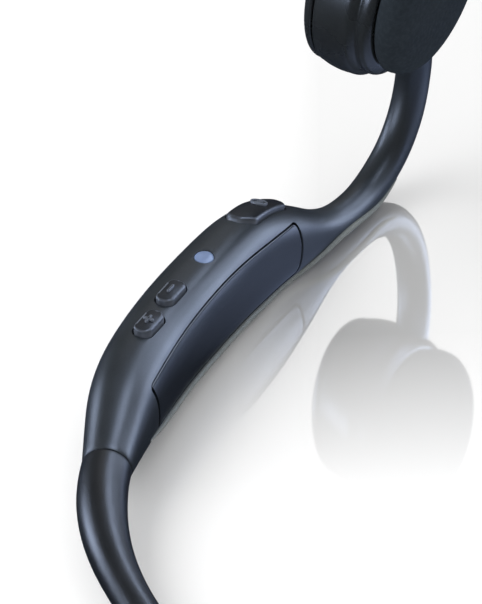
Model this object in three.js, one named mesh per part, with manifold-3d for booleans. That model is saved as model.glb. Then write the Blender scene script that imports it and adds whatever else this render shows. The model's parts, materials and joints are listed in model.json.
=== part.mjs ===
// Bone conduction headphones, lying upside down: the ear hooks and the neckband touch z = 0.
// Millimetres, +Z up, +X towards the speaker pods, right arm at +Y, left arm at -Y.
// The origin is on the floor under the middle of the whole. The arms are laid out from a datum of
// their own, where the hooks leave the modules, and the finished group is moved to the origin.

import * as THREE from "three";
import { mergeVertices } from "three/addons/utils/BufferGeometryUtils.js";
import Module from "manifold-3d";

const wasm = await Module();
wasm.setup();

// ---------------------------------------------------------------- driving dimensions

const ARM_OFFSET = 52; // from the middle plane to each arm's own datum plane
const DATUM_X = 35.51; // from the middle of the whole to the arms' datum
const WALL = 1.3; // moulded wall of the modules and pods
const GAP = 0.25; // half of the slot around the inner cover
const CLEAR = 0.3; // gap between neighbouring pieces
const PROUD = 0.9; // how far the buttons stand above the module
const FAR = 12; // reach of a cutter beyond the surface that it cuts

const SEAM_X = -65; // where the neckband meets the module
const SEAM_Z = 7.6;
const BAND_TURN = THREE.MathUtils.degToRad(70); // from the rear middle to the seam
const BAND_CORNER = { turn: THREE.MathUtils.degToRad(30), radius: 40 }; // the tighter bend by each seam
const BAND_RADIUS_END = 3.5;
const BAND_RADIUS_REAR = 2.6;
const BAND_FADE = [5, 29]; // distances from the seam between which the band thins
const BAND_BORE = 1.6;
const HOOK_RADIUS = 2.65;
const HOOK_BORE = 1.35;

// Sections from the neckband seam, through the module, to the end of the ear hook.
// Each is a rounded oval across the path: centre, half width, half height, squareness.
const SECTIONS = [
  { at: [SEAM_X, -1.9, SEAM_Z], half: [3.5, 3.5], square: 2 },
  { at: [-60, -0.1, 7.8], half: [4.2, 5], square: 2.2 },
  { at: [-54, 1.9, 8.2], half: [5, 6.8], square: 2.4 },
  { at: [-48, 3.2, 8.5], half: [5.3, 7.5], square: 2.5 },
  { at: [-38, 4.2, 8.6], half: [5.4, 7.6], square: 2.6 },
  { at: [-26, 4.3, 8.6], half: [5.4, 7.6], square: 2.6 },
  { at: [-17, 4, 8.2], half: [5.3, 7.6], square: 2.6 },
  { at: [-11, 3.2, 7.1], half: [4.9, 6.7], square: 2.5 },
  { at: [-6, 2, 5.6], half: [4.2, 5.2], square: 2.4 },
  { at: [-1, 0.7, 3.9], half: [3.3, 3.6], square: 2.2 },
  { at: [4, -0.3, 2.85], half: [2.8, 2.75], square: 2 },
  { at: [9, -1, HOOK_RADIUS], half: [HOOK_RADIUS, HOOK_RADIUS], square: 2 },
  { at: [14, -1.4, 3.3], half: [HOOK_RADIUS, HOOK_RADIUS], square: 2 },
  { at: [20, -2.1, 6.6], half: [HOOK_RADIUS, HOOK_RADIUS], square: 2 },
  { at: [23.5, -2.8, 12.2], half: [HOOK_RADIUS, HOOK_RADIUS], square: 2 },
  { at: [24.6, -3.4, 19.1], half: [HOOK_RADIUS, HOOK_RADIUS], square: 2 },
  { at: [23, -4.4, 25.1], half: [HOOK_RADIUS, HOOK_RADIUS], square: 2 },
  { at: [20, -5.4, 28.6], half: [HOOK_RADIUS, HOOK_RADIUS], square: 2 },
];
const CAVITY_FROM = 2; // sections between which the module is hollow
const CAVITY_TO = 7;
const HOOK_FROM = 7; // section where the hook's bore leaves the hollow

// The inner cover's outline, seen from the head side.
const COVER = {
  front: -8.4,
  rear: -52.7,
  topFront: 11.3,
  topMiddle: 13.8,
  topRear: 12.8,
  bottomRear: 5.3,
  bottomFront: 2.8,
  bottomPull: [-43, 4], // the lower edge curves towards this point
};
const COVER_EASE = 12; // length over which its top edge levels out at each end
const COVER_DEPTH = 1.5;
const GASKET_INSET = 0.6;

// The speaker pod: middle of the contact face, the way it faces, and its size.
const POD = { face: [14.2, -13, 41.7], facing: [-0.05, -1, -0.12] };
const PAD = { radius: 12.9, dome: 1, depth: 3.9 };
const HOUSING = { from: 4.2, to: 14.3 };
const CAP = { from: 14.6, to: 16.8 };
const SPRING = { radius: 9.8, from: 2.2, to: 2.6, holes: 3, holesAt: 7.4, hole: 1.3 };
const COIL = { radius: 5.9, inside: 5.1, from: 2.9, to: 5.6 };
const MAGNET = { radius: 4.6, from: 3.6, to: 7.6 };
const YOKE = { radius: 7.8, inside: 6.5, from: 3.8, to: 9.4, floor: 7.9 };

// Controls on the edge of the right module that faces up here.
const KEY = { bevel: 0.45, corner: 0.7, skirtCorner: 1.1, gap: 0.2 };
const VOLUME = { length: 5.2, width: 2.8, foot: 14.6 };
const VOLUME_DOWN = [-37, 3.7];
const VOLUME_UP = [-44.4, 3];
const MULTI = { at: [-11.9, 3.9, 14.2], length: 11.4, width: 4.6, height: 3, proud: 0.7 };
const MULTI_SLOPE = THREE.MathUtils.degToRad(25);
const LIGHT = { at: [-27.3, 3.8], radius: 1.4, depth: 2.4, slack: 0.15 };

// The stack under the buttons: a rubber seal, then the switches, then their board.
const STACK_Y = 3.7;
const STACK_BEND = -18.5; // where the stack turns down under the large button
const SEAL = { drop: 2.1, thickness: 0.4, width: 3.6, rear: -49, front: -9.5 };
const KEY_BOARD = { drop: 3.9, thickness: 0.5, width: 4.6, rear: -49.5, front: -12 };
const SWITCH = { length: 2.8, width: 2.4, top: 2.7, bottom: 3.8 };
const CHIP_OF_LIGHT = { length: 1.6, width: 1, top: 3, bottom: 3.8 };

// The charging socket and its cover, on the same edge of the left module.
const PORT = { front: -35, length: 9, width: 4.2, y: 4, lid: 0.9, swing: 0.95, slack: 0.2 };
const SOCKET = { length: 6.4, width: 3.4, wall: 0.4, height: 2.6, drop: 1.2 };
const MODULE_TOP = 16.2;

// The piping along each arm's lower inner edge: section number, angle round the section in degrees,
// how far its middle stands off the surface, and its radius.
const PIPING = [
  [1.5, 201, -0.1, 0.2],
  [2.5, 210, 0.25, 0.4],
  [5, 223.5, 0.3, 0.5],
  [7, 237, 0.3, 0.5],
  [8, 240, 0.15, 0.5],
  [9.5, 188, 0, 0.5],
  [10.5, 180, 0, 0.5],
  [12, 204, 0, 0.35],
  [12.5, 208, -0.1, 0.2],
];
const PIPING_GAP = 0.15;

// Electronics, as ranges along x, y and z.
const MAIN_BOARD = { x: [-50, -17], y: [4.4, 5.2], z: [3.6, 11.2] };
const SHIELD = { x: [-40, -27], y: [2.5, 4.3], z: [4.4, 10.4], sheet: 0.3 };
const RADIO = { x: [-36.5, -30.5], y: [3.3, 4.2], z: [5.2, 9.4] };
const MICROPHONE = { x: [-24, -20.4], y: [3.2, 4.3], z: [5.6, 8.4] };
const CELL = { length: 29, height: 8.2, thickness: 4.4, corner: 1.2, at: [-33.5, 6.6, 7] };
const CELL_BOARD = { x: [-17.9, -17.1], y: [2.4, 6.4], z: [4, 10] };

// Cords beside the path of the arm and of the neckband: how far outwards, and their radius.
const HOOK_WIRE = { outward: 0.6, radius: 0.4 };
const HOOK_CABLE = { outward: -0.55, radius: 0.45 };
const BAND_WIRE = { outward: 0.65, radius: 0.5 };
const BAND_CABLE = { outward: -0.6, radius: 0.5 };
const CORD_REACH = 5; // how far the neckband's cords run on into the modules
const BAND_PLUG = { radius: 2.1, inside: 1.5, length: 4, middle: 2.4, bore: 2.4 };

// ---------------------------------------------------------------- solids from geometry

function toSolid(geometry) {
  const bare = geometry.clone();
  bare.deleteAttribute("normal");
  bare.deleteAttribute("uv");
  const merged = mergeVertices(bare, 1e-4);
  const triangles = merged.index.array;
  const kept = [];
  for (let i = 0; i < triangles.length; i += 3) {
    const [a, b, c] = triangles.slice(i, i + 3);
    if (a !== b && b !== c && c !== a) kept.push(a, b, c);
  }
  return new wasm.Manifold(
    new wasm.Mesh({
      numProp: 3,
      vertProperties: new Float32Array(merged.attributes.position.array),
      triVerts: new Uint32Array(kept),
    }),
  );
}

function toGeometry(solid) {
  const mesh = solid.getMesh();
  const geometry = new THREE.BufferGeometry();
  geometry.setAttribute("position", new THREE.BufferAttribute(mesh.vertProperties, 3));
  geometry.setIndex(new THREE.BufferAttribute(mesh.triVerts, 1));
  geometry.computeVertexNormals();
  return geometry;
}

// A closed body through rings of points, with a flat fan at each end.
function loft(rings) {
  const count = rings[0].length;
  const points = rings.flat();
  const triangles = [];
  for (let i = 0; i + 1 < rings.length; i += 1) {
    for (let j = 0; j < count; j += 1) {
      const next = (j + 1) % count;
      const a = i * count + j;
      const b = i * count + next;
      triangles.push(a, b, a + count, b, b + count, a + count);
    }
  }
  const last = (rings.length - 1) * count;
  for (let j = 1; j + 1 < count; j += 1) {
    triangles.push(0, j + 1, j);
    triangles.push(last, last + j, last + j + 1);
  }
  const geometry = new THREE.BufferGeometry();
  geometry.setAttribute("position", new THREE.Float32BufferAttribute(points.flatMap((p) => p.toArray()), 3));
  geometry.setIndex(triangles);
  return geometry;
}

// A point at an angle round a rounded oval: square 2 is an ellipse, larger is boxier.
function ovalPoint(angle, centre, side, up, halfWidth, halfHeight, square) {
  const power = 2 / square;
  const across = Math.sign(Math.cos(angle)) * Math.abs(Math.cos(angle)) ** power * halfWidth;
  const above = Math.sign(Math.sin(angle)) * Math.abs(Math.sin(angle)) ** power * halfHeight;
  return centre.clone().addScaledVector(side, across).addScaledVector(up, above);
}

function oval(centre, side, up, halfWidth, halfHeight, square, count) {
  const angles = Array.from({ length: count }, (_, j) => (2 * Math.PI * j) / count);
  return angles.map((angle) => ovalPoint(angle, centre, side, up, halfWidth, halfHeight, square));
}

function extrudeUp(shape, fromZ, toZ) {
  const options = { depth: toZ - fromZ, bevelEnabled: false, curveSegments: 3 };
  return new THREE.ExtrudeGeometry(shape, options).translate(0, 0, fromZ);
}

// A box from ranges along x, y and z.
function block({ x, y, z }) {
  const geometry = new THREE.BoxGeometry(x[1] - x[0], y[1] - y[0], z[1] - z[0]);
  return toSolid(geometry.translate((x[0] + x[1]) / 2, (y[0] + y[1]) / 2, (z[0] + z[1]) / 2));
}

// A box's ranges from its middle, length and width, and a range along z.
function rangesAbout([x, y], length, width, z) {
  return { x: [x - length / 2, x + length / 2], y: [y - width / 2, y + width / 2], z };
}

function roundedRectangle(length, width, corner) {
  const x = length / 2;
  const y = width / 2;
  const shape = new THREE.Shape();
  shape.moveTo(-x + corner, -y);
  shape.lineTo(x - corner, -y);
  shape.absarc(x - corner, -y + corner, corner, -Math.PI / 2, 0);
  shape.lineTo(x, y - corner);
  shape.absarc(x - corner, y - corner, corner, 0, Math.PI / 2);
  shape.lineTo(-x + corner, y);
  shape.absarc(-x + corner, y - corner, corner, Math.PI / 2, Math.PI);
  shape.lineTo(-x, -y + corner);
  shape.absarc(-x + corner, -y + corner, corner, Math.PI, 1.5 * Math.PI);
  return shape;
}

// ---------------------------------------------------------------- the arm's path

const armPath = new THREE.CatmullRomCurve3(SECTIONS.map((s) => new THREE.Vector3(...s.at)));
const armSize = new THREE.CatmullRomCurve3(SECTIONS.map((s) => new THREE.Vector3(...s.half, s.square)));

// Stations along the arm from one section to another, each with its own turned axes.
function stations(fromSection, toSection, perSection) {
  const list = [];
  const side = new THREE.Vector3(0, 1, 0);
  const steps = (SECTIONS.length - 1) * perSection;
  for (let i = 0; i <= steps; i += 1) {
    const t = i / steps;
    const tangent = armPath.getTangent(t);
    side.addScaledVector(tangent, -side.dot(tangent)).normalize();
    if (i < fromSection * perSection || i > toSection * perSection) continue;
    const size = armSize.getPoint(t);
    const up = new THREE.Vector3().crossVectors(tangent, side);
    list.push({ at: i / perSection, centre: armPath.getPoint(t), side: side.clone(), up, size });
  }
  return list;
}

function armBody(fromSection, toSection, inset, count, perSection = 2) {
  const rings = stations(fromSection, toSection, perSection).map(({ centre, side, up, size }) =>
    oval(centre, side, up, size.x - inset, size.y - inset, size.z, count),
  );
  return toSolid(loft(rings));
}

// A round cord or bore beside the arm's path.
function armCord(fromSection, toSection, across, radius, count) {
  const rings = stations(fromSection, toSection, 2).map(({ centre, side, up }) =>
    oval(centre.addScaledVector(side, across), side, up, radius, radius, 2, count),
  );
  return toSolid(loft(rings));
}

// The row of a table at a place between its rows; the first column gives each row's place.
function rowAt(rows, at) {
  const next = Math.max(1, rows.findIndex((row) => row[0] >= at));
  const before = rows[next - 1];
  const share = (at - before[0]) / (rows[next][0] - before[0]);
  return before.map((value, k) => THREE.MathUtils.lerp(value, rows[next][k], share));
}

// The piping, or with a positive grow the groove that it lies in.
function piping(grow = 0) {
  const rings = stations(PIPING[0][0], PIPING.at(-1)[0], 2).map(({ at, centre, side, up, size }) => {
    const [, degrees, standOff, radius] = rowAt(PIPING, at);
    const angle = THREE.MathUtils.degToRad(degrees);
    const middle = ovalPoint(angle, centre, side, up, size.x, size.y, size.z);
    const outward = middle.clone().sub(centre).normalize();
    const round = new THREE.Vector3().crossVectors(side, up).cross(outward);
    return oval(middle.addScaledVector(outward, standOff), outward, round, radius + grow, radius + grow, 2, 8);
  });
  return toSolid(loft(rings));
}

const armOuter = armBody(0, SECTIONS.length - 1, 0, 16);
const armHollow = armBody(CAVITY_FROM, CAVITY_TO, WALL, 12, 1);
const armRoom = armBody(CAVITY_FROM, CAVITY_TO, WALL + CLEAR, 12, 1);

// ---------------------------------------------------------------- module shells and covers

// The cover's outline pushed out by grow, swept inwards through the wall to y = depth.
function coverPrism(grow, depth = COVER_DEPTH) {
  const { front, rear, topFront, topMiddle, topRear, bottomRear, bottomFront, bottomPull } = COVER;
  const middle = (front + rear) / 2;
  const shape = new THREE.Shape();
  shape.moveTo(rear - grow, bottomRear - grow);
  shape.lineTo(rear - grow, topRear + grow);
  shape.quadraticCurveTo(rear + COVER_EASE, topMiddle + grow, middle, topMiddle + grow);
  shape.quadraticCurveTo(front - COVER_EASE, topMiddle + grow, front + grow, topFront + grow);
  shape.lineTo(front - 1 + grow, bottomFront - grow);
  shape.quadraticCurveTo(bottomPull[0], bottomPull[1] - grow, rear - grow, bottomRear - grow);
  const geometry = extrudeUp(shape, -depth, FAR);
  return toSolid(geometry.rotateX(Math.PI / 2));
}

function rearBore() {
  return atSeam(new THREE.CylinderGeometry(BAND_PLUG.bore, BAND_PLUG.bore, 16, 12));
}

// Turns a piece that is about the y axis to lie along the arm's start, with its middle at the seam.
function atSeam(geometry) {
  const turn = new THREE.Quaternion().setFromUnitVectors(new THREE.Vector3(0, 1, 0), armPath.getTangent(0));
  return toSolid(geometry.applyQuaternion(turn).translate(...SECTIONS[0].at));
}

function hookBore(radius) {
  return armCord(HOOK_FROM - 0.5, SECTIONS.length - 1, 0, radius, 8);
}

function plainShell() {
  const tip = stations(SECTIONS.length - 1, SECTIONS.length - 1, 2)[0];
  const mouth = new THREE.SphereGeometry(HOOK_BORE + 0.3, 6, 4).translate(...tip.centre.toArray());
  const shell = armOuter.subtract(armHollow).subtract(coverPrism(GAP)).subtract(rearBore());
  return shell.subtract(hookBore(HOOK_BORE)).subtract(toSolid(mouth)).subtract(piping(PIPING_GAP));
}

function innerCover() {
  const prism = coverPrism(-GAP, COVER_DEPTH - CLEAR);
  return armOuter.subtract(armHollow).subtract(hookBore(HOOK_BORE)).intersect(prism);
}

function coverGasket() {
  const depth = COVER_DEPTH - CLEAR;
  const ring = coverPrism(GAP / 2, depth).subtract(coverPrism(-GAP / 2, depth));
  return armBody(0, CAVITY_TO + 2, GASKET_INSET, 14, 1).subtract(armHollow).intersect(ring);
}

// ---------------------------------------------------------------- buttons, light and switches

function keyCap(length, width, height) {
  const { bevel, corner } = KEY;
  const shape = roundedRectangle(length - 2 * bevel, width - 2 * bevel, corner);
  const geometry = new THREE.ExtrudeGeometry(shape, {
    depth: height - bevel,
    bevelThickness: bevel,
    bevelSize: bevel,
    bevelSegments: 1,
    curveSegments: 2,
  });
  return toSolid(geometry);
}

// A button cap whose lower edge is square, so that it slides in its opening.
function slidingKey(length, width, height) {
  const skirt = toSolid(extrudeUp(roundedRectangle(length, width, KEY.skirtCorner), 0, height / 2));
  return keyCap(length, width, height).trimByPlane([0, 0, 1], height / 2).add(skirt);
}

function volumeKey([x, y]) {
  const key = slidingKey(VOLUME.length, VOLUME.width, MODULE_TOP + PROUD - VOLUME.foot);
  return key.translate([x, y, VOLUME.foot]);
}

// Turns a piece about the large button's own middle to its place on the sloping shoulder.
function multiFrame(solid) {
  return solid.rotate([0, THREE.MathUtils.radToDeg(MULTI_SLOPE), 0]).translate(MULTI.at);
}

// The large button's top follows the arm's surface and stands evenly proud of it.
function multiKey() {
  const shape = roundedRectangle(MULTI.length, MULTI.width, KEY.skirtCorner);
  const plug = toSolid(extrudeUp(shape, MULTI.proud - MULTI.height, FAR / 3));
  return multiFrame(plug).intersect(armBody(0, SECTIONS.length - 1, -MULTI.proud, 16));
}

function opening(length, width, depth) {
  const corner = KEY.skirtCorner + KEY.gap;
  const shape = roundedRectangle(length + 2 * KEY.gap, width + 2 * KEY.gap, corner);
  return toSolid(extrudeUp(shape, -depth, FAR / 3));
}

function lightPipe(radius, fromZ, toZ) {
  const pipe = new THREE.CylinderGeometry(radius, radius, toZ - fromZ, 14).rotateX(Math.PI / 2);
  return toSolid(pipe.translate(...LIGHT.at, (fromZ + toZ) / 2));
}

function lightWindow() {
  return lightPipe(LIGHT.radius, MODULE_TOP - LIGHT.depth, MODULE_TOP + 1).intersect(armOuter);
}

function rightShell() {
  let shell = plainShell();
  for (const [x, y] of [VOLUME_DOWN, VOLUME_UP]) {
    shell = shell.subtract(opening(VOLUME.length, VOLUME.width, 2.5).translate([x, y, MODULE_TOP - 0.4]));
  }
  shell = shell.subtract(multiFrame(opening(MULTI.length, MULTI.width, 3.2)));
  return shell.subtract(lightPipe(LIGHT.radius + LIGHT.slack, MODULE_TOP - 3.6, MODULE_TOP + 2));
}

// A thin strip under the controls: level, then bent down under the large button.
function bentStrip({ drop, thickness, width, rear, front }) {
  const top = MODULE_TOP - drop;
  const frontZ = top - (front - STACK_BEND) * Math.tan(MULTI_SLOPE);
  const shape = new THREE.Shape();
  shape.moveTo(rear, top);
  shape.lineTo(STACK_BEND, top);
  shape.lineTo(front, frontZ);
  shape.lineTo(front, frontZ - thickness);
  shape.lineTo(STACK_BEND, top - thickness);
  shape.lineTo(rear, top - thickness);
  shape.closePath();
  const geometry = extrudeUp(shape, -width / 2, width / 2).rotateX(Math.PI / 2).translate(0, STACK_Y, 0);
  return toSolid(geometry);
}

function buttonSeal() {
  const lightHole = lightPipe(LIGHT.radius + CLEAR, 10, MODULE_TOP);
  return bentStrip(SEAL).subtract(lightHole).intersect(armRoom);
}

function buttonBoard() {
  return bentStrip(KEY_BOARD).intersect(armRoom);
}

// A low block on the key board, its top and bottom measured down from the module's top.
function onKeyBoard(middle, { length, width, top, bottom }) {
  return block(rangesAbout(middle, length, width, [MODULE_TOP - bottom, MODULE_TOP - top]));
}

function volumeSwitch([x]) {
  return onKeyBoard([x, STACK_Y], SWITCH);
}

function multiSwitch() {
  return multiFrame(block(rangesAbout([-1.5, -0.2], SWITCH.length, SWITCH.width, [-4.4, -3.4])));
}

function lightChip() {
  return onKeyBoard(LIGHT.at, CHIP_OF_LIGHT);
}

// ---------------------------------------------------------------- electronics

function mainBoard() {
  return block(MAIN_BOARD);
}

// A folded can, open towards the board.
function radioShield() {
  const { x, y, z, sheet } = SHIELD;
  const inside = {
    x: [x[0] + sheet, x[1] - sheet],
    y: [y[0] + sheet, y[1] + 1],
    z: [z[0] + sheet, z[1] - sheet],
  };
  return block(SHIELD).subtract(block(inside));
}

function radioChip() {
  return block(RADIO);
}

function microphone() {
  return block(MICROPHONE);
}

function battery() {
  const cell = extrudeUp(roundedRectangle(CELL.length, CELL.height, CELL.corner), 0, CELL.thickness);
  return toSolid(cell.rotateX(Math.PI / 2).translate(...CELL.at)).intersect(armRoom);
}

function protectionBoard() {
  return block(CELL_BOARD).intersect(armRoom);
}

// ---------------------------------------------------------------- charging socket and its cover

const portMiddle = [PORT.front - PORT.length / 2, PORT.y];
const socketMiddle = [portMiddle[0] - 0.4, PORT.y];

// The module's shell with a shallow recess for the cover's lid and a hole for the socket.
// The recess is longer at the front, where the lid turns on its hinge.
function portShell() {
  const front = PORT.front + PORT.swing;
  const rear = PORT.front - PORT.length - PORT.slack;
  const shape = roundedRectangle(front - rear, PORT.width + 2 * PORT.slack, KEY.skirtCorner);
  const recess = toSolid(extrudeUp(shape, 0, 4));
  const shifted = recess.translate([(front + rear) / 2, PORT.y, MODULE_TOP - PORT.lid - 0.1]);
  const hole = block(rangesAbout(socketMiddle, 6, 3.2, [10.6, MODULE_TOP]));
  return plainShell().subtract(shifted).subtract(hole);
}

function portCover() {
  const under = MODULE_TOP - PORT.lid;
  const lid = toSolid(extrudeUp(roundedRectangle(PORT.length, PORT.width, 0.9), under, MODULE_TOP + 1));
  const flush = lid.translate([...portMiddle, 0]).intersect(armOuter);
  const plug = block(rangesAbout(socketMiddle, 5.2, 2.4, [under - 0.9, MODULE_TOP - 0.5]));
  return flush.add(plug);
}

function chargingSocket() {
  const { length, width, wall, height, drop } = SOCKET;
  const top = MODULE_TOP - PORT.lid - drop;
  const body = block(rangesAbout(socketMiddle, length, width, [top - height, top]));
  const mouth = [top - height + wall, top + 1];
  const inside = block(rangesAbout(socketMiddle, length - 2 * wall, width - 2 * wall, mouth));
  return body.subtract(inside).intersect(armRoom);
}

// ---------------------------------------------------------------- speaker pod

const podAxis = new THREE.Vector3(...POD.facing).normalize();
const podSide = new THREE.Vector3().crossVectors(podAxis, new THREE.Vector3(0, 0, 1)).normalize();
const podUp = new THREE.Vector3().crossVectors(podSide, podAxis);

// A ring of the pod: distance outwards from the contact face, half width, half height, drop.
function podRing([out, halfWidth, halfHeight, drop], inset, count) {
  const centre = new THREE.Vector3(...POD.face).addScaledVector(podAxis, -out).addScaledVector(podUp, -drop);
  return oval(centre, podSide, podUp, halfWidth - inset, halfHeight - inset, 2, count);
}

function podBody(profile, inset = 0, count = 18) {
  return toSolid(loft(profile.map((ring) => podRing(ring, inset, count))));
}

// A round piece on the pod's axis, from one depth to another.
function podDisc(radius, from, to, count = 14) {
  return podBody([[from, radius, radius, 0], [to, radius, radius, 0]], 0, count);
}

const HOUSING_PROFILE = [
  [HOUSING.from, 12.4, 13.2, 1],
  [5.2, 12.7, 14, 1.6],
  [9, 12.8, 14.6, 2.6],
  [12.4, 12.3, 14.4, 3.2],
  [HOUSING.to, 11.8, 13.9, 3.4],
];

const CAP_PROFILE = [
  [CAP.from, 11.7, 13.8, 3.4],
  [15.4, 11.3, 13.4, 3.5],
  [16.3, 10.2, 12.3, 3.5],
  [CAP.to, 8.6, 10.7, 3.5],
];

function podHousing() {
  const hook = armCord(SECTIONS.length - 3, SECTIONS.length - 1, 0, HOOK_RADIUS + 0.2, 12);
  const inside = structuredClone(HOUSING_PROFILE);
  inside[0][0] -= 1;
  inside[inside.length - 1][0] += 1;
  return podBody(HOUSING_PROFILE).subtract(podBody(inside, WALL, 12)).subtract(hook);
}

function podCap() {
  return podBody(CAP_PROFILE);
}

function contactPad() {
  const { radius, dome, depth } = PAD;
  const profile = [
    [-dome, radius * 0.5, radius * 0.5, 0.2],
    [-dome * 0.8, radius * 0.72, radius * 0.72, 0.2],
    [0, radius * 0.94, radius * 0.94, 0.3],
    [1, radius, radius, 0.4],
    [depth, radius - 0.2, radius + 0.2, 0.8],
  ];
  return podBody(profile).subtract(podDisc(radius - 1.6, 1.6, depth + 1));
}

function springPlate() {
  let plate = podDisc(SPRING.radius, SPRING.from, SPRING.to);
  for (let i = 0; i < SPRING.holes; i += 1) {
    const angle = (i * 2 * Math.PI) / SPRING.holes;
    const hole = new THREE.Vector3(...POD.face)
      .addScaledVector(podSide, SPRING.holesAt * Math.cos(angle))
      .addScaledVector(podUp, SPRING.holesAt * Math.sin(angle));
    const rings = [SPRING.from - 1, SPRING.to + 1].map((out) =>
      oval(hole.clone().addScaledVector(podAxis, -out), podSide, podUp, SPRING.hole, SPRING.hole, 2, 8),
    );
    plate = plate.subtract(toSolid(loft(rings)));
  }
  return plate;
}

function voiceCoil() {
  const { radius, inside, from, to } = COIL;
  return podDisc(radius, from, to).subtract(podDisc(inside, from - 1, to + 1));
}

function magnet() {
  return podDisc(MAGNET.radius, MAGNET.from, MAGNET.to);
}

// A cup round the magnet, open towards the contact pad.
function yoke() {
  const { radius, inside, from, to, floor } = YOKE;
  return podDisc(radius, from, to).subtract(podDisc(inside, from - 1, floor));
}

// ---------------------------------------------------------------- cords in the hook

function hookCord({ outward, radius }) {
  return armCord(HOOK_FROM, SECTIONS.length - 1, outward, radius, 6);
}

// ---------------------------------------------------------------- neckband

const seamY = ARM_OFFSET + SECTIONS[0].at[1];
const rearTurn = BAND_TURN - BAND_CORNER.turn;
const cornerY = BAND_CORNER.radius * (Math.sin(BAND_TURN) - Math.sin(rearTurn));
const rearRadius = (seamY - cornerY) / Math.sin(rearTurn);
const rearLength = rearRadius * rearTurn;
const halfBand = rearLength + BAND_CORNER.radius * BAND_CORNER.turn;

// Place on the neckband's middle line: how far it has come forward, and its direction's turn.
// along is measured from the rear middle; the seams are at halfBand and -halfBand.
function bandPlace(along) {
  const reach = Math.abs(along);
  const first = Math.min(reach, rearLength) / rearRadius;
  const turn = first + Math.max(0, reach - rearLength) / BAND_CORNER.radius;
  const forward = rearRadius * (1 - Math.cos(first)) + BAND_CORNER.radius * (Math.cos(first) - Math.cos(turn));
  const across = rearRadius * Math.sin(first) + BAND_CORNER.radius * (Math.sin(turn) - Math.sin(first));
  const lift = (1 - Math.cos((Math.PI * reach) / halfBand)) / 2;
  const z = BAND_RADIUS_REAR + (SEAM_Z - BAND_RADIUS_REAR) * lift;
  return { forward, across: across * Math.sign(along), turn: turn * Math.sign(along), z };
}

const bandRearX = SEAM_X - bandPlace(halfBand).forward;

function bandRadius(along) {
  const fade = THREE.MathUtils.smoothstep(halfBand - Math.abs(along), ...BAND_FADE);
  return THREE.MathUtils.lerp(BAND_RADIUS_END, BAND_RADIUS_REAR, fade);
}

// A cord along the band, beside its middle line by outward, reaching past both seams by reach.
function bandCord(reach, outward, radiusAt, count, steps = 24) {
  const rings = [];
  const end = halfBand + reach;
  for (let i = 0; i <= steps; i += 1) {
    const along = THREE.MathUtils.lerp(-end, end, i / steps);
    const { forward, across, turn, z } = bandPlace(along);
    const side = new THREE.Vector3(-Math.cos(turn), Math.sin(turn), 0);
    const centre = new THREE.Vector3(bandRearX + forward, across, z).addScaledVector(side, outward);
    rings.push(oval(centre, side, new THREE.Vector3(0, 0, 1), radiusAt(along), radiusAt(along), 2, count));
  }
  return toSolid(loft(rings));
}

function bandJacket() {
  const bore = bandCord(2, 0, () => BAND_BORE, 8);
  return bandCord(-CLEAR / 2, 0, bandRadius, 12).subtract(bore);
}

function bandCore({ outward, radius }) {
  return bandCord(CORD_REACH, outward, () => radius, 6);
}

// The stiff end of the neckband, inside the module's rear bore.
function bandPlug() {
  const { radius, inside, length, middle } = BAND_PLUG;
  const outer = new THREE.CylinderGeometry(radius, radius, length, 10).translate(0, middle, 0);
  const bore = new THREE.CylinderGeometry(inside, inside, length + 2, 10).translate(0, middle, 0);
  return atSeam(outer).subtract(atSeam(bore));
}

// ---------------------------------------------------------------- materials

const FINISHES = {
  satin: { color: 0x1b1f27, roughness: 0.42, metalness: 0.05 },
  cover: { color: 0x14171e, roughness: 0.36, metalness: 0.05 },
  gloss: { color: 0x0d0f14, roughness: 0.16, metalness: 0.05 },
  silicone: { color: 0x191c24, roughness: 0.6, metalness: 0 },
  pad: { color: 0x23262f, roughness: 0.8, metalness: 0 },
  button: { color: 0x1a1d25, roughness: 0.5, metalness: 0 },
  seal: { color: 0x08090b, roughness: 0.9, metalness: 0 },
  window: { color: 0x7f9cd0, roughness: 0.3, metalness: 0 },
  board: { color: 0x11402a, roughness: 0.5, metalness: 0.1 },
  chip: { color: 0x101114, roughness: 0.5, metalness: 0 },
  steel: { color: 0xa9adb3, roughness: 0.35, metalness: 0.9 },
  titanium: { color: 0x8c8d90, roughness: 0.4, metalness: 0.9 },
  copper: { color: 0xb5683a, roughness: 0.4, metalness: 0.9 },
  cell: { color: 0x7d8894, roughness: 0.4, metalness: 0.5 },
  wire: { color: 0x20222a, roughness: 0.7, metalness: 0 },
  piping: { color: 0x5b605e, roughness: 0.7, metalness: 0 },
};

// ---------------------------------------------------------------- assembly

const headphones = new THREE.Group();

function place(name, solid, finish) {
  const mesh = new THREE.Mesh(toGeometry(solid), new THREE.MeshStandardMaterial(FINISHES[finish]));
  mesh.name = name;
  headphones.add(mesh);
}

// side is 1 for the right arm and -1 for its mirror image.
function placeOnArm(side, name, solid, finish) {
  const mirrored = side > 0 ? solid : solid.mirror([0, 1, 0]);
  place(name, mirrored.translate([0, side * ARM_OFFSET, 0]), finish);
}

function placeSharedPieces(side, prefix) {
  const add = (name, solid, finish) => placeOnArm(side, `${prefix}_${name}`, solid, finish);
  add("inner_cover", innerCover(), "cover");
  add("cover_gasket", coverGasket(), "seal");
  add("edge_piping", piping(), "piping");
  add("band_plug", bandPlug(), "chip");
  add("pod_housing", podHousing(), "gloss");
  add("pod_cap", podCap(), "gloss");
  add("contact_pad", contactPad(), "pad");
  add("spring_plate", springPlate(), "steel");
  add("voice_coil", voiceCoil(), "copper");
  add("magnet", magnet(), "steel");
  add("yoke", yoke(), "steel");
  add("hook_wire", hookCord(HOOK_WIRE), "titanium");
  add("hook_cable", hookCord(HOOK_CABLE), "wire");
}

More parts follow.
